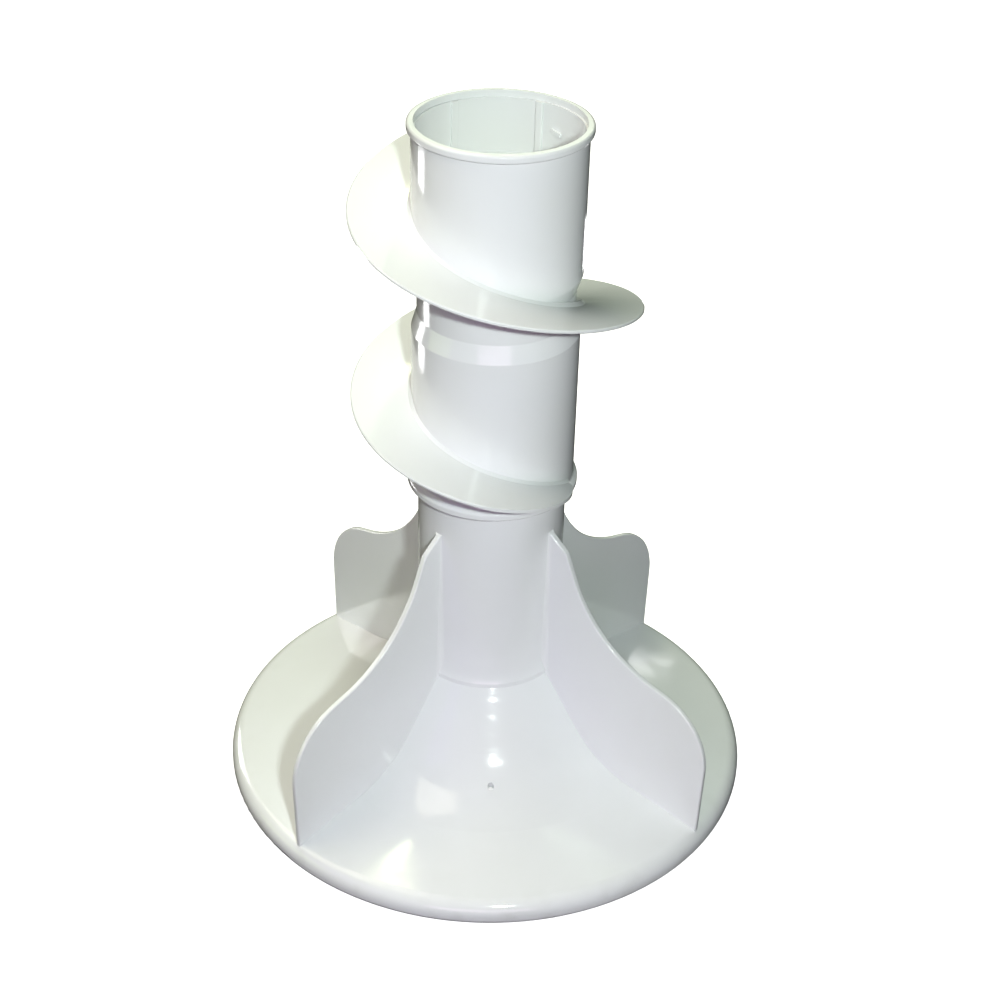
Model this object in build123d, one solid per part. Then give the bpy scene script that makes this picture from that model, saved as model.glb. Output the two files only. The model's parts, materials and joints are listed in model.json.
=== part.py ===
"""Washing machine agitator: finned bell base, and an auger that turns on its column through a ratchet clutch."""
import os
from math import atan2, cos, degrees, radians, sin, tan

from build123d import *

# Sizes in millimetres, angles in degrees. +Z up, origin at the centre of the rim that it stands on.
# Azimuths count from +X towards +Y; the front is -Y.

# Base: bell skirt
skirt_radius = 170.0
skirt_wall = 3.2
skirt_edge_height = 15.0        # where the skirt's straight slope would meet its rim
skirt_lip_radius = 9.5
skirt_low_round = 5.5           # round by which the lip turns under
skirt_lip_width = 8.0           # the lip is solid for this far in from its edge
skirt_knee_radius_at = 88.9     # where the outer slope meets the inner cone
skirt_knee_height = 30.4
skirt_knee_round = 70.0

# Base: column
column_gap = 1.5                # between the column and the auger's tube, room for the bearing
column_wall = 2.8
column_top = 266.0
column_top_wall = 3.5
column_top_round = 3.0
boss_foot_round = 2.0
column_foot_height = 88.0       # where the cone leaves the column
foot_round = 3.0                # hollow round between cone and column, under the flare
foot_flare = 2.2                # how far the column's foot flares out over the cone
foot_flare_height = 12.0

# Base: fins. They are not evenly spaced on this moulding, and reach a little differently far out.
fin_places = ((47.0, 168.0), (132.6, 165.2), (226.4, 168.4), (324.0, 168.6))   # azimuth and greatest reach
fin_thickness_root = 4.4
fin_thickness_edge = 3.2
fin_edge_round = 0.9
fin_below_auger = 20.8          # how far the fins' tops stay under the auger
fin_shoulder_out = 12.9         # corners of the free edge, as distance out from the column
fin_hollow_out = 36.7
fin_shoulder_share = 0.938      # their heights, as a share of the fins' height
fin_hollow_share = 0.637
fin_corner_share = 0.508
fin_lean = 2.6                  # the outer edge leans in by this towards its foot
fin_rounds = (8.0, 90.0, 46.0)
fin_root_round = 5.5            # hollow round between a fin and the column, at its foot
fin_root_round_top = 0.8
fin_root_round_foot = 62.0

# Base: drain holes in the skirt, one in each quarter
drain_radius = 1.9
drain_distance = 86.8
drain_azimuth = 272.6
drain_count = 4

# Base: hub, bolt well and ribs
hub_radius = 12.5
hub_foot = 58.0
shaft_radius = 8.0
shaft_clearance = 0.08
shaft_bore_length = 60.0
spline_length = 30.0
spline_teeth = 12
spline_tooth_width = 1.9
spline_depth = 1.1
web_floor = 150.0               # underside of the web that the bolt clamps
web_thickness = 8.0
well_radius = 16.5
rib_count = 8
rib_thickness = 2.6

# Base: neck that carries the clutch
neck_radius = 20.0
neck_top = 300.0
boss_radius = 28.0
key_count = 12
key_width = 3.0
key_height = 1.4
key_clearance = 0.15

# Auger: tube
tube_radius = 49.7
tube_upper_step = 0.2           # the tube is this much wider above the waist
tube_wall = 2.6
auger_foot = 213.8
foot_lip_height = 3.5
foot_lip_clearance = 0.8
collar_proud = 2.6              # how far the collar stands out from the tube
collar_height = 4.2
collar_slope = 3.4              # height of the slope above the collar
shoulder_height = 317.5
waist_depth = 3.2
waist_low = 328.5
waist_high = 345.0
waist_top_flare = 10.0
rim_top = 443.5
rim_bead_proud = 2.4
rim_bead_height = 4.4
rim_bead_slope = 1.0
auger_rounds = (1.6, 2.0, 3.0, 1.5, 1.5, 4.0, 5.0, 0.6, 1.2, 1.6)   # from the foot up to the rim

# Auger: mouth
mouth_depth = 36.5
mouth_step = 0.8                # width of the ledge under the guide ribs
cap_seat_depth = 4.0            # the cap's seat is turned out above the guide ribs
cap_seat_step = 1.1
guide_rib_azimuths = (62.3, 124.5, 242.3, 304.5)
guide_rib_width = 4.5
guide_rib_depth = 1.5
guide_rib_round = 0.7
lug_azimuths = (47.5, 227.5)
lug_length = 7.0
lug_width = 2.4
lug_depth = 1.2
lug_drop = 20.0
lug_slant = 7.0

# Auger: left-handed flight
flight_width = 36.3             # how far the flight stands out from the tube
flight_turn_height = 118.0      # how far it drops in a full turn
flight_thickness = 2.3
flight_edge_bevel = 0.6
flight_root_bevel = 2.0
flight_start = 68.0             # azimuth of the upper end
flight_full = 138.0             # azimuth where it has grown to its full width
flight_fade = 622.0             # azimuth where it starts to narrow
flight_end = 698.0              # azimuth where it has run out
flight_height_at_full = 405.7   # height of its middle at flight_full
flight_sink = 0.4               # how far under the tube's surface a faded end starts
flight_overrun = 15.0           # angle by which a fade cut runs past the flight's end

# Auger: ratchet ring
shelf_low = 270.0
shelf_thickness = 3.0
shelf_hole_radius = 36.0
tooth_count = 16
tooth_tip_radius = 39.5
tooth_height = 17.0
tooth_land = 2.0
tooth_back = 14.0
tooth_phase = -22.2             # azimuth of the first tooth's driving face

# Clutch
axial_gap = 0.3
cam_floor_radius = 38.8
cam_floor_thickness = 3.2
cam_height = 13.7
cam_hub_radius = 25.0
cam_block_radius = 38.2
cam_block_from = 14.0
cam_block_to = 56.0
cover_thickness = 2.2
post_radius = 2.5
post_distance = 32.0
dog_count = 4
dog_bore_clearance = 0.05
dog_eye_radius = 4.4
dog_arm_length = 15.0
dog_arm_width = 5.0
retainer_thickness = 2.0
retainer_radius = 24.0
retainer_groove = 1.2
retainer_gap_angle = 50.0
washer_inner_radius = 33.0
washer_outer_radius = 43.5

# Lower bearing
bearing_clearance = 0.08
bearing_seat_clearance = 0.10
bearing_height = 11.5

# Inner cap and its seal
cap_gap = 0.9
cap_edge_round = 1.0
cap_wall = 2.0
cap_height = 23.5
cap_top_thickness = 2.5
cap_groove_depth = 1.4
cap_groove_height = 3.4
cap_groove_at = 10.6
seal_squeeze_gap = 0.06
grip_length = 62.0
grip_thickness = 3.5
grip_height = 12.0
grip_round = 7.0

# Bolt
bolt_radius = 3.15
bolt_hole_radius = 3.6
bolt_length = 26.0
bolt_head_across_flats = 11.1
bolt_head_height = 6.0
bolt_washer_radius = 10.0
bolt_washer_thickness = 1.6
bolt_seal_radius = 9.0
bolt_seal_thickness = 2.0

# Worked out from the sizes above
overlap = 1.0
column_radius = tube_radius - tube_wall - column_gap
knee = (skirt_knee_radius_at, skirt_knee_height)
fin_top = auger_foot - fin_below_auger
fin_shoulder = (column_radius + fin_shoulder_out, fin_shoulder_share * fin_top)
fin_hollow = (column_radius + fin_hollow_out, fin_hollow_share * fin_top)
fin_corner_height = fin_corner_share * fin_top
hub_bore_radius = shaft_radius + shaft_clearance
web_top = web_floor + web_thickness
cam_floor_low = shelf_low + shelf_thickness + axial_gap
cam_floor_top = cam_floor_low + cam_floor_thickness
cam_top = cam_floor_top + cam_height
cover_top = cam_top + cover_thickness
tube_bore = tube_radius - tube_wall
tube_upper_radius = tube_radius + tube_upper_step
collar_radius = tube_radius + collar_proud
waist_radius = tube_radius - waist_depth
rim_bead_radius = tube_upper_radius + rim_bead_proud
flight_radius = tube_radius + flight_width
mouth_radius = tube_upper_radius - tube_wall
cap_seat_radius = mouth_radius + cap_seat_step
cap_seat_low = rim_top - cap_seat_depth
cap_bore = mouth_radius - mouth_step
waist_bore = waist_radius - tube_wall
waist_top = waist_high + waist_top_flare
mouth_ledge = rim_top - mouth_depth
bore_flare = 0.75 * waist_top_flare
flight_drop = flight_turn_height / 360
cap_outer = cap_bore - cap_gap
cap_low = waist_high + bore_flare * (cap_outer - waist_bore) / (cap_bore - waist_bore) + axial_gap
cap_groove_low = cap_low + cap_groove_at
cap_groove_radius = cap_outer - cap_groove_depth


def at(radius, azimuth, height=0.0):
    """A point given by its distance from the axis, azimuth and height."""
    return Vector(radius * cos(radians(azimuth)), radius * sin(radians(azimuth)), height)


def profile(points):
    """Points of a half section, given as radius and height."""
    return [(radius, 0, height) for radius, height in points]


def turned(outline):
    """A solid turned about the axis from a closed half section."""
    return revolve(make_face(outline), Axis.Z)


def ring(outer, inner, low, high):
    """A plain ring or washer about the axis."""
    return Pos(0, 0, low) * extrude(Circle(outer) - Circle(inner), high - low)


def drum(radius, low, high):
    """A plain cylinder about the axis."""
    return Pos(0, 0, low) * extrude(Circle(radius), high - low)


def around(count, start=0.0):
    """Turns that repeat a piece evenly about the axis."""
    return [Rot(0, 0, start + 360 / count * i) for i in range(count)]


def skirt_line(inset):
    """Corners and rounds of the bell's side from the rim up to the column, inset by a wall."""
    slope = (skirt_edge_height - knee[1]) / (skirt_radius - knee[0])
    steep = (knee[1] - column_foot_height) / (knee[0] - column_radius)
    slope_drop = inset * (1 + slope**2) ** 0.5
    steep_drop = inset * (1 + steep**2) ** 0.5
    outer_radius = skirt_radius - inset
    inner_radius = column_radius - inset
    level = knee[1] - slope * knee[0] - slope_drop
    steep_level = knee[1] - steep * knee[0] - steep_drop
    knee_radius = (level - steep_level) / (steep - slope)
    rim = (outer_radius, level + slope * outer_radius)
    mid = (knee_radius, level + slope * knee_radius)
    top = (inner_radius, steep_level + steep * inner_radius)
    return [rim, mid, top], [skirt_lip_radius - inset, skirt_knee_round + inset]


def base_outside():
    """The base's outer form, filled solid."""
    (rim, mid, top), rounds = skirt_line(0.0)
    lip_inside = skirt_radius - skirt_lip_width
    bell = [(lip_inside, 0), (skirt_radius, 0), rim, mid, top]
    side = FilletPolyline(
        *profile([*bell, (column_radius, column_top), (boss_radius, column_top)]),
        radius=[skirt_low_round, *rounds, foot_round, column_top_round],
    )
    steps = Polyline(
        *profile(
            [
                (boss_radius, column_top),
                (boss_radius, cam_floor_low),
                (neck_radius, cam_floor_low),
                (neck_radius, neck_top),
                (0, neck_top),
                (0, 0),
                (lip_inside, 0),
            ]
        )
    )
    return turned(side + steps)


def foot_flare_ring():
    """The flare at the column's foot, which ends in an edge over the cone."""
    top = column_foot_height + foot_flare_height
    low = column_foot_height - 2 * foot_flare
    edge = (column_radius + foot_flare, column_foot_height)
    inner = column_radius - overlap
    curve = Spline(
        *profile([(column_radius, top), edge]),
        tangents=[(0, 0, -1), (0.5, 0, -1)],
    )
    steps = Polyline(*profile([edge, (edge[0], low), (inner, low), (inner, top), (column_radius, top)]))
    return turned(curve + steps)


def fin_outline(reach):
    """A fin's upright face: a hollow sweep off the column, a raised paddle and an upright outer edge."""
    foot = skirt_edge_height / 2
    inner = column_radius - column_wall / 2
    corner = (reach, fin_corner_height)
    end = (reach - fin_lean, foot)
    edge = FilletPolyline(*profile([(inner, fin_top), fin_shoulder, fin_hollow, corner, end]), radius=fin_rounds)
    return make_face(edge + Polyline(*profile([end, (inner, foot), (inner, fin_top)])))


def fin(azimuth, reach):
    """One fin, thinner towards its outer edge, with a rounded free edge."""
    plate = extrude(fin_outline(reach), fin_thickness_root, both=True)
    root = fin_thickness_root / 2
    tip = fin_thickness_edge / 2
    end = reach + fin_lean
    wedge = make_face(Polyline((0, -root), (end, -tip), (end, tip), (0, root), (0, -root)))
    blade = plate & extrude(wedge, fin_top + overlap)
    free_edges = [
        e
        for e in blade.edges()
        if abs(e.center().Y) > tip / 2 and e.center().X > column_radius and e.center().Z > skirt_edge_height
    ]
    blade = fillet(free_edges, fin_edge_round)
    return Rot(0, 0, azimuth) * blade


def fin_root(azimuth, reach):
    """The hollow rounds where a fin joins the column, on both of its sides."""
    half = fin_thickness_root / 2
    tall = extrude(fin_outline(reach), fin_root_round + half, both=True)
    foot = Pos(0, 0, fin_root_round_foot) * root_rounds(half, fin_root_round)
    top = Pos(0, 0, fin_top) * root_rounds(half, fin_root_round_top)
    return Rot(0, 0, azimuth) * (tall & loft([foot, top]))


def root_rounds(half, size):
    """Plan of the hollow rounds: a pad between fin and column with a circle taken out on each side."""
    centre = ((column_radius + size) ** 2 - (half + size) ** 2) ** 0.5
    share = column_radius / (column_radius + size)
    touch = (centre * share, (half + size) * share)
    deep = share - column_wall / column_radius
    middle = at(column_radius + size, degrees(atan2(half + size, centre)))
    towards = (Vector(centre, half) - middle).normalized() + (Vector(*touch) - middle).normalized()
    waist = middle + towards.normalized() * size
    hollow = ThreePointArc(touch, waist, (centre, half))
    mirrored = ThreePointArc((centre, -half), (waist.X, -waist.Y), (touch[0], -touch[1]))
    inside = Polyline((touch[0], -touch[1]), (deep * touch[0], -touch[1]), (deep * touch[0], touch[1]), touch)
    return make_face(hollow + Line((centre, half), (centre, -half)) + mirrored + inside)


def bell_cavity():
    """The open space under the bell, around the hub and the bolt well."""
    (rim, mid, top), (lip_round, knee_round) = skirt_line(skirt_wall)
    inner = column_radius - column_wall
    ceiling = column_top - column_top_wall
    lip_inside = skirt_radius - skirt_lip_width
    slope = (rim[1] - mid[1]) / (rim[0] - mid[0])
    lip_top = (lip_inside, mid[1] + slope * (lip_inside - mid[0]))
    side = FilletPolyline(
        *profile([(lip_inside, -overlap), lip_top, mid, top, (inner, top[1] + skirt_wall), (inner, ceiling)]),
        radius=[lip_round / 2, knee_round, boss_foot_round, boss_foot_round],
    )
    steps = Polyline(
        *profile(
            [
                (inner, ceiling),
                (neck_radius, ceiling),
                (neck_radius, web_floor),
                (hub_radius, web_floor - (neck_radius - hub_radius)),
                (hub_radius, hub_foot),
                (0, hub_foot),
                (0, -overlap),
                (lip_inside, -overlap),
            ]
        )
    )
    return turned(side + steps)


def hub_holes():
    """Shaft bore, drive spline, bolt hole and bolt well, all on the axis."""
    bore_top = hub_foot + shaft_bore_length
    holes = drum(hub_bore_radius, hub_foot - overlap, bore_top)
    holes += drum(hub_bore_radius - spline_depth, bore_top - overlap, bore_top + spline_length)
    slot = Pos(hub_bore_radius / 2, 0, bore_top + spline_length / 2) * Box(
        hub_bore_radius, spline_tooth_width, spline_length
    )
    for turn in around(spline_teeth):
        holes += turn * slot
    holes += drum(bolt_hole_radius, web_floor - spline_length, web_top + overlap)
    holes += drum(well_radius, web_top, neck_top + overlap)
    return holes


def inner_ribs():
    """Upright ribs between the hub and the bell, up to the top of the column."""
    reach = skirt_knee_radius_at
    ceiling = column_top - column_top_wall / 2
    inner = hub_radius - overlap
    plate = Box(reach - inner, rib_thickness, ceiling - hub_foot, align=(Align.MIN, Align.CENTER, Align.MIN))
    ribs = [turn * Pos(inner, 0, hub_foot) * plate for turn in around(rib_count)]
    return Compound(ribs)


def neck_keys(clearance=0.0):
    """Keys round the neck that carry the drive cam."""
    tall = cam_top - cam_floor_low
    key = Pos((neck_radius + key_height + clearance) / 2, 0, cam_floor_low + tall / 2) * Box(
        neck_radius + key_height + clearance, key_width + 2 * clearance, tall
    )
    keys = turned_copies(key, key_count)
    return keys - drum(neck_radius - overlap, cam_floor_low - overlap, cam_top + overlap)


def turned_copies(piece, count, start=0.0):
    """Copies of a piece about the axis, joined."""
    copies = [turn * piece for turn in around(count, start)]
    return copies[0] + copies[1:]


def drain_holes():
    """Upright drain holes through the skirt."""
    hole = Cylinder(drain_radius, column_foot_height, align=(Align.CENTER, Align.CENTER, Align.MIN))
    return turned_copies(Pos(drain_distance, 0, 0) * hole, drain_count, drain_azimuth)


def agitator_base():
    """The finned bell with its column, hub and neck, one moulding."""
    outside = base_outside()
    body = outside + foot_flare_ring()
    for azimuth, reach in fin_places:
        body += fin(azimuth, reach)
        body += fin_root(azimuth, reach)
    body -= bell_cavity()
    body += inner_ribs() & outside
    body += neck_keys()
    body -= hub_holes()
    body -= drain_holes()
    groove_low = cover_top
    groove = ring(neck_radius + overlap, neck_radius - retainer_groove, groove_low, groove_low + retainer_thickness)
    return body - groove


def auger_outside():
    """The auger's tube, filled solid: foot, collar, shoulder, waist and rim bead."""
    bead_low = rim_top - rim_bead_height
    collar_top = auger_foot + collar_height
    side = FilletPolyline(
        *profile(
            [
                (0, auger_foot),
                (collar_radius, auger_foot),
                (collar_radius, collar_top),
                (tube_radius, collar_top + collar_slope),
                (tube_radius, shoulder_height),
                (waist_radius, waist_low),
                (waist_radius, waist_high),
                (tube_upper_radius, waist_top),
                (tube_upper_radius, bead_low - rim_bead_slope),
                (rim_bead_radius, bead_low),
                (rim_bead_radius, rim_top),
                (0, rim_top),
            ]
        ),
        radius=auger_rounds,
    )
    return turned(side + Line(*profile([(0, rim_top), (0, auger_foot)])))


def auger_bore():
    """The inside of the auger's tube from foot to mouth."""
    lip_bore = column_radius + foot_lip_clearance
    lip_top = auger_foot + foot_lip_height
    return turned(
        Polyline(
            *profile(
                [
                    (0, auger_foot - overlap),
                    (lip_bore, auger_foot - overlap),
                    (lip_bore, lip_top),
                    (tube_bore, lip_top),
                    (tube_bore, shoulder_height - overlap),
                    (waist_bore, waist_low - overlap),
                    (waist_bore, waist_high),
                    (cap_bore, waist_high + bore_flare),
                    (cap_bore, mouth_ledge),
                    (mouth_radius, mouth_ledge),
                    (mouth_radius, cap_seat_low),
                    (cap_seat_radius, cap_seat_low),
                    (cap_seat_radius, rim_top + overlap),
                    (0, rim_top + overlap),
                    (0, auger_foot - overlap),
                ]
            )
        )
    )


def flight_section():
    """Upright section of the flight: a thin blade with bevels at its edge and root."""
    half = flight_thickness / 2
    root_height = half + flight_root_bevel
    upper = [
        (waist_bore + tube_wall / 2, root_height),
        (tube_radius - flight_sink, root_height),
        (tube_radius + flight_root_bevel, half),
        (flight_radius - flight_edge_bevel, half),
        (flight_radius, half - flight_edge_bevel),
    ]
    lower = [(radius, -height) for radius, height in reversed(upper)]
    return make_face(Polyline(*profile([*upper, *lower, upper[0]])))


def flight():
    """The left-handed flight, swept down round the tube and faded out at both ends."""
    turn = flight_end - flight_start
    height = flight_drop * turn
    low = flight_height_at_full - flight_drop * (flight_end - flight_full)
    path = Helix(flight_turn_height, height, flight_radius, lefthand=True)
    blade = sweep(flight_section(), path=path, is_frenet=True)
    blade = Pos(0, 0, low) * Rot(0, 0, flight_end) * blade
    return blade - fade(flight_start, flight_full) - fade(flight_end, flight_fade)


def fade(thin_end, full_end):
    """What is cut away where the flight grows from nothing at one azimuth to full width at another."""
    steps = 6
    start = tube_radius - flight_sink
    spiral = []
    for i in range(steps + 1):
        share = i / steps
        azimuth = thin_end + (full_end - thin_end) * share
        spiral.append(at(start + (flight_radius - start) * sin(radians(90 * share)), azimuth))
    beyond = thin_end + (flight_overrun if thin_end > full_end else -flight_overrun)
    inner = waist_bore
    outer = 1.4 * flight_radius
    corners = [
        spiral[-1],
        at(outer, full_end),
        at(outer, (thin_end + full_end) / 2),
        at(outer, beyond),
        at(inner, beyond),
        at(inner, thin_end),
        spiral[0],
    ]
    area = make_face(Spline(*spiral) + Polyline(*corners))
    heights = [flight_height_at_full - flight_drop * (a - flight_full) for a in (thin_end, full_end)]
    margin = flight_root_bevel + flight_overrun * flight_drop
    return Pos(0, 0, min(heights) - margin) * extrude(area, max(heights) - min(heights) + 2 * margin)


def ratchet_ring():
    """The shelf inside the tube and the ring of saw teeth that stands on it."""
    wall = tube_bore + tube_wall / 2
    teeth_low = shelf_low + shelf_thickness
    shelf = ring(wall, shelf_hole_radius, shelf_low, teeth_low)
    plan = Polyline(
        at(wall, 0),
        at(tooth_tip_radius, 0),
        at(tooth_tip_radius, -tooth_land),
        at(tube_bore, -tooth_back),
        at(wall, -tooth_back),
        at(wall, 0),
    )
    tooth = Pos(0, 0, teeth_low - overlap / 2) * extrude(make_face(plan), tooth_height + overlap / 2)
    return shelf + [turn * tooth for turn in around(tooth_count, tooth_phase)]


def mouth_details():
    """Guide ribs and bayonet lugs for the cap inside the auger's mouth."""
    plan = RectangleRounded(2 * guide_rib_depth, guide_rib_width, guide_rib_round)
    rib = Pos(mouth_radius, 0, mouth_ledge) * extrude(plan, cap_seat_low - mouth_ledge)
    lug = Pos(mouth_radius, 0, rim_top - lug_drop) * Rot(lug_slant, 0, 0) * Box(2 * lug_depth, lug_length, lug_width)
    details = [Rot(0, 0, azimuth) * rib for azimuth in guide_rib_azimuths]
    details += [Rot(0, 0, azimuth) * lug for azimuth in lug_azimuths]
    return Compound(details) & drum(tube_upper_radius - tube_wall / 4, mouth_ledge - overlap, rim_top)


def auger():
    """Tube, flight, ratchet ring and mouth, one moulding."""
    body = auger_outside() + flight()
    body -= auger_bore()
    body += ratchet_ring()
    body += mouth_details()
    return body


def auger_bearing():
    """Plain bearing ring on the auger's foot lip, running on the column."""
    low = auger_foot + foot_lip_height
    return ring(tube_bore - bearing_seat_clearance, column_radius + bearing_clearance, low, low + bearing_height)


def thrust_washer():
    """Washer on the column's top, under the auger's shelf."""
    return ring(washer_outer_radius, washer_inner_radius, column_top, shelf_low - axial_gap)


def drive_cam():
    """Clutch hub: keyed bore, floor, four posts and four blocks between the dogs' pockets."""
    body = drum(cam_floor_radius, cam_floor_low, cam_floor_top) + drum(cam_hub_radius, cam_floor_low, cam_top)
    block = make_face(
        Polyline(at(cam_hub_radius - overlap, cam_block_from), at(cam_block_radius, cam_block_from))
        + ThreePointArc(
            at(cam_block_radius, cam_block_from),
            at(cam_block_radius, (cam_block_from + cam_block_to) / 2),
            at(cam_block_radius, cam_block_to),
        )
        + Polyline(
            at(cam_block_radius, cam_block_to),
            at(cam_hub_radius - overlap, cam_block_to),
            at(cam_hub_radius - overlap, cam_block_from),
        )
    )
    block = Pos(0, 0, cam_floor_top - overlap) * extrude(block, cam_height + overlap)
    post = Pos(post_distance, 0, cam_floor_top - overlap) * Cylinder(
        post_radius, cam_height + overlap, align=(Align.CENTER, Align.CENTER, Align.MIN)
    )
    for turn in around(dog_count):
        body += turn * block
        body += turn * post
    body -= drum(neck_radius + key_clearance, cam_floor_low - overlap, cam_top + overlap)
    return body - neck_keys(key_clearance)


def dog():
    """One ratchet dog, at the post on +X, lying in its pocket."""
    tip = Pos(0, -dog_arm_length + dog_arm_width / 2) * Circle(dog_arm_width / 2)
    arm = Pos(0, -dog_arm_length / 2) * Rectangle(dog_arm_width, dog_arm_length)
    nose = Pos(dog_arm_width / 4, -dog_arm_length + dog_arm_width / 4) * Rectangle(
        dog_arm_width / 2, dog_arm_width / 2
    )
    plan = (Circle(dog_eye_radius) + (arm - Pos(0, -dog_arm_length) * Rectangle(dog_arm_width, dog_arm_width)))
    plan = plan + tip + nose - Circle(post_radius + dog_bore_clearance)
    height = cam_height - 2 * axial_gap
    return Pos(post_distance, 0, cam_floor_top + axial_gap) * extrude(plan, height)


def cam_cover():
    """Ring plate over the dogs, resting on the cam's blocks and posts."""
    return ring(cam_block_radius, neck_radius + key_height + key_clearance, cam_top, cover_top)


def cam_retainer():
    """Split snap ring in the neck's groove."""
    low = cover_top
    whole = ring(retainer_radius, neck_radius - retainer_groove, low, low + retainer_thickness)
    reach = 2 * retainer_radius
    half = reach * tan(radians(retainer_gap_angle / 2))
    gap = make_face(Polyline((0, 0), (reach, -half), (reach, half), (0, 0)))
    return whole - Pos(0, 0, low - overlap) * extrude(gap, retainer_thickness + 2 * overlap)


def inner_cap():
    """Barrier cap on the waist's inner ledge, with its seal groove and grip bar."""
    top = cap_low + cap_height
    cup = drum(cap_outer, cap_low, top) - drum(cap_outer - cap_wall, cap_low - overlap, top - cap_top_thickness)
    cup = fillet(cup.edges().filter_by(GeomType.CIRCLE).sort_by(Axis.Z)[-1], cap_edge_round)
    cup += ring(cap_outer - cap_wall / 2, cap_groove_radius - cap_wall, cap_groove_low - cap_wall, top - overlap)
    cup -= ring(cap_outer + overlap, cap_groove_radius, cap_groove_low, cap_groove_low + cap_groove_height)
    bar = Box(grip_length, grip_thickness, grip_height + overlap, align=(Align.CENTER, Align.CENTER, Align.MIN))
    bar = fillet(bar.edges().filter_by(Axis.Y).sort_by(Axis.Z)[-2:], grip_round)
    return cup + Pos(0, 0, top - overlap) * bar


def cap_o_ring():
    """Seal in the cap's groove, against the auger's bore."""
    middle = (cap_bore + cap_groove_radius) / 2
    radius = (cap_bore - cap_groove_radius) / 2 - seal_squeeze_gap
    return Pos(0, 0, cap_groove_low + cap_groove_height / 2) * Torus(middle, radius)


def bolt_seal():
    """Rubber seal on the web."""
    return ring(bolt_seal_radius, bolt_hole_radius, web_top, web_top + bolt_seal_thickness)


def bolt_washer():
    """Steel washer on the seal."""
    low = web_top + bolt_seal_thickness
    return ring(bolt_washer_radius, bolt_hole_radius, low, low + bolt_washer_thickness)


def mounting_bolt():
    """Hex bolt that holds the agitator down on its shaft."""
    seat = web_top + bolt_seal_thickness + bolt_washer_thickness
    hexagon = RegularPolygon(bolt_head_across_flats / 2, 6, major_radius=False)
    head = Pos(0, 0, seat) * extrude(hexagon, bolt_head_height)
    cone = turned(
        Polyline(
            *profile(
                [
                    (0, seat),
                    (bolt_head_across_flats * 0.6, seat),
                    (bolt_head_across_flats * 0.6, seat + bolt_head_height * 0.8),
                    (bolt_head_across_flats * 0.45, seat + bolt_head_height),
                    (0, seat + bolt_head_height),
                    (0, seat),
                ]
            )
        )
    )
    return (head & cone) + drum(bolt_radius, seat - bolt_length, seat + overlap)


nodes = {
    "agitator_base": agitator_base(),
    "auger": auger(),
    "auger_bearing": auger_bearing(),
    "thrust_washer": thrust_washer(),
    "drive_cam": drive_cam(),
    "cam_cover": cam_cover(),
    "cam_retainer": cam_retainer(),
    "inner_cap": inner_cap(),
    "cap_o_ring": cap_o_ring(),
    "mounting_bolt": mounting_bolt(),
    "bolt_washer": bolt_washer(),
    "bolt_seal": bolt_seal(),
}
for number, quarter in enumerate(around(dog_count), start=1):
    nodes[f"dog_{number}"] = quarter * dog()

os.makedirs("parts", exist_ok=True)
for name, solid in nodes.items():
    export_step(solid, f"parts/{name}.step")
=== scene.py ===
import json
from math import cos, sin

import bpy
from mathutils import Matrix, Vector

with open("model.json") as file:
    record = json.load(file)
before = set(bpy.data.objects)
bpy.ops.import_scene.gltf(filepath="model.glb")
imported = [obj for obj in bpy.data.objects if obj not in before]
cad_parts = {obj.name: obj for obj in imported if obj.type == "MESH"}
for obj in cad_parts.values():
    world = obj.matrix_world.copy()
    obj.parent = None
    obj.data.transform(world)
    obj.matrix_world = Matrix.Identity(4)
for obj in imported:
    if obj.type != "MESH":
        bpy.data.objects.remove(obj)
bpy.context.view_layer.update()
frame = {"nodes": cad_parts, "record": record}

# Camera, as solved from the photograph. Metres and radians.
camera_place = Vector((0.0, -0.94887, 0.80445))
camera_pitch = 0.57003
camera_yaw = 0.00557
camera_roll = 0.02777
focal_pixels = 1811.73
photo_pixels = 1000
sensor_width = 36.0

# Lamps turn to the object's middle.
lamp_target = Vector((0.0, 0.0, 0.2))

# The photograph's light, a flash by the camera and soft lamps round the object.
# Each has a name, place, size and power for red, green and blue.
lamps = (
    ("flash", (0.15, -1.0, 0.87), (0.06, 0.04), (9.1, 10.2, 9.6)),
    ("left_high", (-0.9, 0.2, 1.8), (1.4, 1.4), (19.6, 18.3, 15.0)),
    ("left_low", (-1.5, -0.3, 0.35), (1.0, 0.5), (1.5, 2.1, 0.6)),
    ("left_front", (-1.3, -0.9, 0.9), (1.0, 1.0), (1.2, 0.7, 2.4)),
    ("front_low", (0.0, -1.6, 0.3), (1.2, 0.4), (4.8, 3.6, 4.7)),
    ("back_high", (0.0, 1.4, 1.6), (1.4, 1.4), (10.2, 12.0, 9.4)),
    ("back_top", (-0.30, 0.80, 1.9), (0.22, 0.14), (1.8, 2.0, 1.1)),
)

# Lamps that only leave the narrow white marks on the tube's sides: name, place, size and power.
mark_lamps = (
    ("mark_left", (-0.415, 0.19, 0.165), (0.12, 0.19), 0.7),
    ("mark_right", (0.19, 0.395, 0.18), (0.08, 0.045), 0.05),
)

# Colours
white = (0.82, 0.83, 0.85)
grime_colour = (0.42, 0.41, 0.36)
bloom_colour = (0.13, 0.13, 0.125)
stain_colour = (0.36, 0.32, 0.27)

# Depths of the bumps, in metres
ripple_depth = 0.0002
peel_depth = 0.000012
scratch_depth = 0.00001
moulded_depth = 0.00003
rubber_depth = 0.00004
steel_depth = 0.00002

# Grime reaches this high up from the floor.
grime_height = 0.02

# Floor
floor_half = 3.0
floor_shade = 0.9
floor_glow = 0.85


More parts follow.
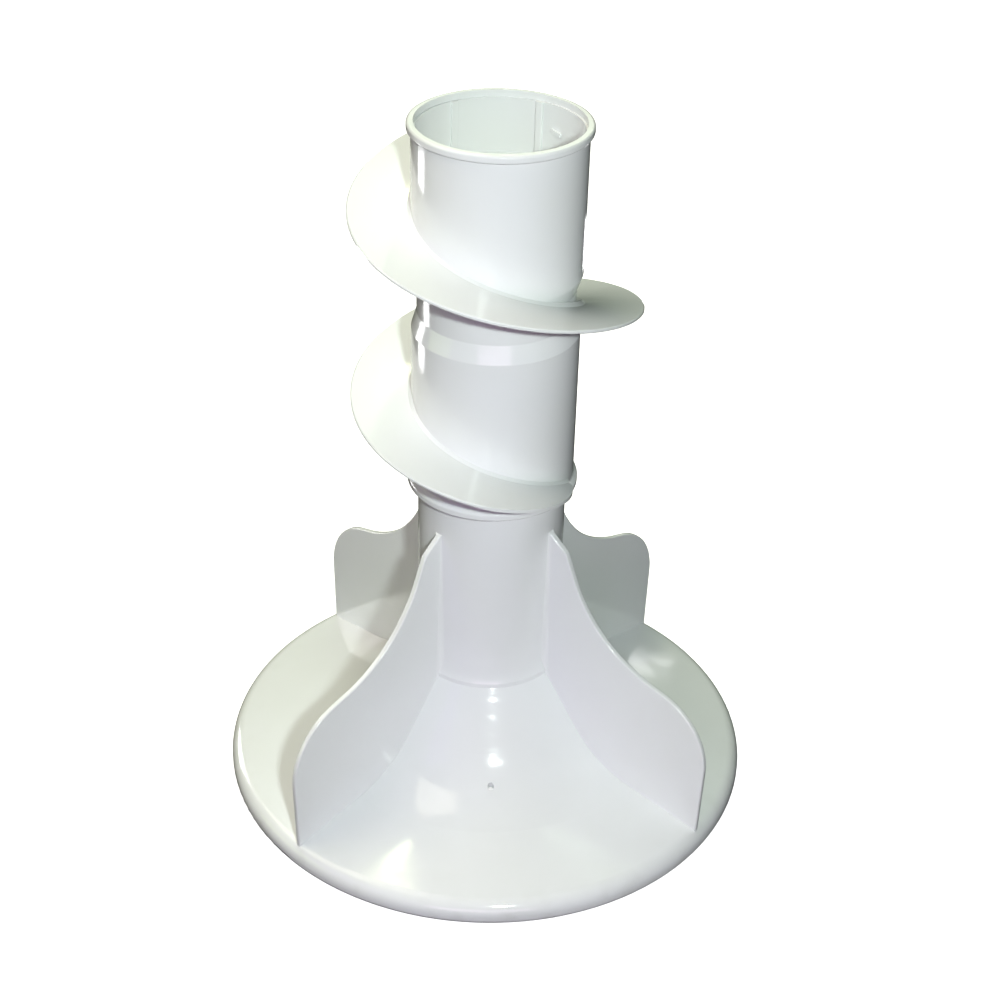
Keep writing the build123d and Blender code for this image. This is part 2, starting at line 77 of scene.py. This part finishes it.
def make_camera():
    """The camera at the photograph's place and angle."""
    level = cos(camera_pitch)
    forward = Vector((sin(camera_yaw) * level, cos(camera_yaw) * level, -sin(camera_pitch)))
    right = forward.cross(Vector((0, 0, 1))).normalized()
    up = right.cross(forward)
    tilted_right = right * cos(camera_roll) + up * sin(camera_roll)
    tilted_up = up * cos(camera_roll) - right * sin(camera_roll)
    data = bpy.data.cameras.new("photo_camera")
    data.sensor_width = sensor_width
    data.lens = focal_pixels / photo_pixels * sensor_width
    camera = bpy.data.objects.new("photo_camera", data)
    turn = Matrix((tilted_right, tilted_up, -forward)).transposed().to_4x4()
    camera.matrix_world = Matrix.Translation(camera_place) @ turn
    bpy.context.scene.collection.objects.link(camera)
    bpy.context.scene.camera = camera


def area_light(name, place, size, power):
    """A soft rectangular lamp turned to the object, with its power for red, green and blue."""
    data = bpy.data.lights.new(name, "AREA")
    data.shape = "RECTANGLE"
    data.size, data.size_y = size
    data.energy = max(power)
    data.color = [part / max(power) for part in power]
    lamp = bpy.data.objects.new(name, data)
    lamp.location = place
    lamp.rotation_euler = (lamp_target - Vector(place)).to_track_quat("-Z", "Y").to_euler()
    bpy.context.scene.collection.objects.link(lamp)
    return lamp


def make_lights():
    """The photograph's lamps, and those of the marks, which show in gloss only."""
    for name, place, size, power in lamps:
        area_light(name, place, size, power)
    for name, place, size, power in mark_lamps:
        lamp = area_light(name, place, size, (power, power, power))
        lamp.visible_diffuse = False


def new_material(name):
    """A new material, its node tree and its shader."""
    material = bpy.data.materials.new(name)
    material.use_nodes = True
    tree = material.node_tree
    return material, tree, tree.nodes["Principled BSDF"]


def noise(tree, scale, detail=3.0, stretch=(1, 1, 1)):
    """Noise in the object's own frame, with grains of about 1/scale metres."""
    place = tree.nodes.new("ShaderNodeTexCoord")
    mapping = tree.nodes.new("ShaderNodeMapping")
    mapping.inputs["Scale"].default_value = stretch
    texture = tree.nodes.new("ShaderNodeTexNoise")
    texture.inputs["Scale"].default_value = scale
    texture.inputs["Detail"].default_value = detail
    tree.links.new(place.outputs["Object"], mapping.inputs["Vector"])
    tree.links.new(mapping.outputs["Vector"], texture.inputs["Vector"])
    return texture.outputs["Fac"]


def remap(tree, value, source, target):
    """A value moved from one range to another, held to the ends."""
    node = tree.nodes.new("ShaderNodeMapRange")
    ends = dict(zip(("From Min", "From Max", "To Min", "To Max"), (*source, *target)))
    for socket, number in ends.items():
        node.inputs[socket].default_value = number
    tree.links.new(value, node.inputs["Value"])
    return node.outputs["Result"]


def combine(tree, kind, first, second):
    """Arithmetic on two values, of which the second may be a number."""
    node = tree.nodes.new("ShaderNodeMath")
    node.operation = kind
    tree.links.new(first, node.inputs[0])
    if isinstance(second, float):
        node.inputs[1].default_value = second
    else:
        tree.links.new(second, node.inputs[1])
    return node.outputs[0]


def blend_colours(tree, share, first, second):
    """A colour between two colours. The first may come from another node."""
    node = tree.nodes.new("ShaderNodeMix")
    node.data_type = "RGBA"
    tree.links.new(share, node.inputs["Factor"])
    if isinstance(first, tuple):
        node.inputs["A"].default_value = (*first, 1)
    else:
        tree.links.new(first, node.inputs["A"])
    node.inputs["B"].default_value = (*second, 1)
    return node.outputs["Result"]


def bump(tree, height, depth, below=None):
    """Bump of a given depth in metres, on top of another bump if there is one."""
    node = tree.nodes.new("ShaderNodeBump")
    node.inputs["Distance"].default_value = depth
    tree.links.new(height, node.inputs["Height"])
    if below:
        tree.links.new(below, node.inputs["Normal"])
    return node.outputs["Normal"]


def height_above(tree):
    """Height of a surface point above the floor, at rest."""
    place = tree.nodes.new("ShaderNodeTexCoord")
    split = tree.nodes.new("ShaderNodeSeparateXYZ")
    tree.links.new(place.outputs["Object"], split.inputs["Vector"])
    return split.outputs["Z"]


def gloss_plastic(name, colour, aged, gloss):
    """Glossy moulded polypropylene: slight mottling, ripple of the mould, rub marks and grime low down."""
    material, tree, shader = new_material(name)
    mottle = remap(tree, noise(tree, 14.0, 4.0), (0.35, 0.7), (0.0, 0.5))
    flow = remap(tree, noise(tree, 9.0, 2.0, (1, 1, 0.25)), (0.4, 0.65), (0.0, 0.35))
    tint = blend_colours(tree, mottle, colour, aged)
    low_down = remap(tree, height_above(tree), (0.0, grime_height), (1.0, 0.0))
    spots = remap(tree, noise(tree, 60.0, 6.0), (0.5, 0.75), (0.0, 0.35))
    tint = blend_colours(tree, combine(tree, "MULTIPLY", low_down, spots), tint, grime_colour)
    tint = blend_colours(tree, combine(tree, "MULTIPLY", flow, 0.25), tint, aged)
    tree.links.new(tint, shader.inputs["Base Color"])
    rubbed = remap(tree, noise(tree, 30.0, 8.0, (1, 1, 6)), (0.52, 0.72), (0.0, 0.14))
    fine = remap(tree, noise(tree, 120.0, 3.0), (0.3, 0.7), (gloss, gloss + 0.04))
    tree.links.new(combine(tree, "ADD", fine, rubbed), shader.inputs["Roughness"])
    ripple = bump(tree, noise(tree, 22.0, 1.0), ripple_depth)
    peel = bump(tree, noise(tree, 900.0, 2.0), peel_depth, below=ripple)
    scratches = bump(tree, noise(tree, 260.0, 5.0, (1, 1, 9)), scratch_depth, below=peel)
    tree.links.new(scratches, shader.inputs["Normal"])
    shader.inputs["IOR"].default_value = 1.49
    return material


def engineering_plastic(name, colour, worn, roughness):
    """Acetal or nylon: satin, with a fine grain from the mould and polished rubs."""
    material, tree, shader = new_material(name)
    patches = remap(tree, noise(tree, 70.0, 5.0), (0.35, 0.7), (0.0, 0.7))
    tree.links.new(blend_colours(tree, patches, colour, worn), shader.inputs["Base Color"])
    gloss_range = (roughness - 0.1, roughness + 0.1)
    rubs = remap(tree, noise(tree, 150.0, 6.0, (1, 1, 5)), (0.35, 0.65), gloss_range)
    tree.links.new(rubs, shader.inputs["Roughness"])
    tree.links.new(bump(tree, noise(tree, 1400.0, 3.0), moulded_depth), shader.inputs["Normal"])
    return material


def rubber(name, colour):
    """Black seal rubber, matt with a grey bloom."""
    material, tree, shader = new_material(name)
    bloom = remap(tree, noise(tree, 120.0, 6.0), (0.5, 0.75), (0.0, 0.6))
    tree.links.new(blend_colours(tree, bloom, colour, bloom_colour), shader.inputs["Base Color"])
    tree.links.new(remap(tree, bloom, (0.0, 0.6), (0.5, 0.75)), shader.inputs["Roughness"])
    tree.links.new(bump(tree, noise(tree, 2200.0, 2.0), rubber_depth), shader.inputs["Normal"])
    return material


def brushed_steel(name, colour):
    """Stainless steel with turning lines and water stains."""
    material, tree, shader = new_material(name)
    stains = remap(tree, noise(tree, 240.0, 6.0), (0.5, 0.72), (0.0, 0.7))
    tree.links.new(blend_colours(tree, stains, colour, stain_colour), shader.inputs["Base Color"])
    lines = noise(tree, 500.0, 4.0, (1, 1, 12))
    tree.links.new(remap(tree, lines, (0.3, 0.7), (0.22, 0.42)), shader.inputs["Roughness"])
    tree.links.new(bump(tree, lines, steel_depth), shader.inputs["Normal"])
    shader.inputs["Metallic"].default_value = 1.0
    return material


def slot_materials():
    """One material for each of the record's material slots."""
    glossy = {
        "base_plastic": (white, (0.78, 0.79, 0.79), 0.08),
        "auger_plastic": (white, (0.79, 0.80, 0.79), 0.08),
        "cap_plastic": ((0.78, 0.79, 0.8), (0.72, 0.72, 0.7), 0.18),
    }
    satin = {
        "bearing_plastic": ((0.72, 0.70, 0.62), (0.62, 0.6, 0.52), 0.4),
        "cam_plastic": ((0.55, 0.56, 0.58), (0.47, 0.48, 0.49), 0.4),
        "dog_plastic": ((0.02, 0.02, 0.022), (0.04, 0.04, 0.042), 0.42),
    }
    materials = {name: gloss_plastic(name, *finish) for name, finish in glossy.items()}
    materials |= {name: engineering_plastic(name, *finish) for name, finish in satin.items()}
    materials["seal_rubber"] = rubber("seal_rubber", (0.02, 0.02, 0.02))
    materials["bolt_steel"] = brushed_steel("bolt_steel", (0.62, 0.62, 0.6))
    return materials


def dress_nodes():
    """Gives every CAD node the material of its slot in the record."""
    materials = slot_materials()
    for part in frame["record"]["subparts"]:
        mesh = frame["nodes"][part["node"]].data
        mesh.materials.clear()
        mesh.materials.append(materials[part["material_slot"]])


def make_floor():
    """A plain white floor that glows for the camera. It throws no light on the object."""
    half = floor_half
    mesh = bpy.data.meshes.new("floor")
    corners = [(-half, -half, 0), (half, -half, 0), (half, half, 0), (-half, half, 0)]
    mesh.from_pydata(corners, [], [(0, 1, 2, 3)])
    floor = bpy.data.objects.new("floor", mesh)
    bpy.context.scene.collection.objects.link(floor)
    floor.visible_diffuse = False
    floor.visible_glossy = False
    material, _, shader = new_material("floor")
    shader.inputs["Base Color"].default_value = (floor_shade, floor_shade, floor_shade, 1)
    shader.inputs["Roughness"].default_value = 0.9
    shader.inputs["Specular IOR Level"].default_value = 0.0
    shader.inputs["Emission Color"].default_value = (1, 1, 1, 1)
    shader.inputs["Emission Strength"].default_value = floor_glow
    mesh.materials.append(material)


def make_world():
    """White beyond the floor's edge, for the camera only."""
    world = bpy.data.worlds.new("studio")
    world.use_nodes = True
    world.node_tree.nodes["Background"].inputs["Color"].default_value = (1, 1, 1, 1)
    world.cycles_visibility.diffuse = False
    world.cycles_visibility.glossy = False
    bpy.context.scene.world = world


scene = bpy.context.scene
scene.view_settings.view_transform = "Standard"
scene.cycles.use_denoising = True
make_camera()
make_lights()
make_world()
make_floor()
dress_nodes()
